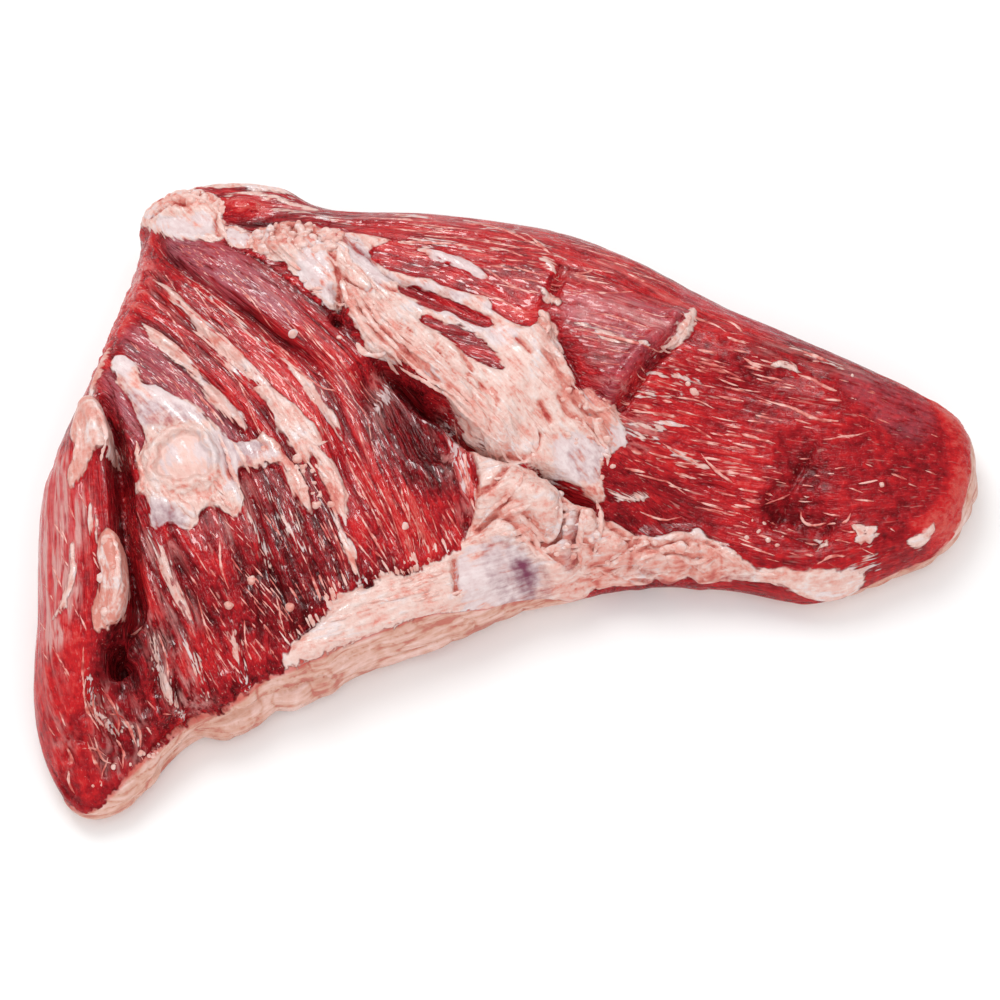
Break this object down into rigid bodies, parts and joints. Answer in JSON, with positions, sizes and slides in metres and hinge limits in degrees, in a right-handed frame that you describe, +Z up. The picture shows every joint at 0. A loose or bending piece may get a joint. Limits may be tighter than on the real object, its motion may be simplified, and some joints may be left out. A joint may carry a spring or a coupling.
{
  "type": "raw beef tri-tip",
  "caption": "Raw untrimmed beef tri-tip: a flat, boomerang-shaped triangular muscle lying on its fat cap, seam side up, with a fat seam, a folded flap and a rolled edge.",
  "frame": {"origin": "on the table under the middle of the piece's bounding box, as it lies on its fat cap", "axes": "+X from the pointed tip's side to the thick round end, +Y from the hollow side to the far long side, +Z up out of the trimmed face"},
  "size_m": [0.3244, 0.2451, 0.0459],
  "materials": {
    "raw_beef": "wet raw beef, dark red with cream fat"
  },
  "bodies": {
    "root": {"tri_tip": "raw_beef"}
  },
  "joints": []
}
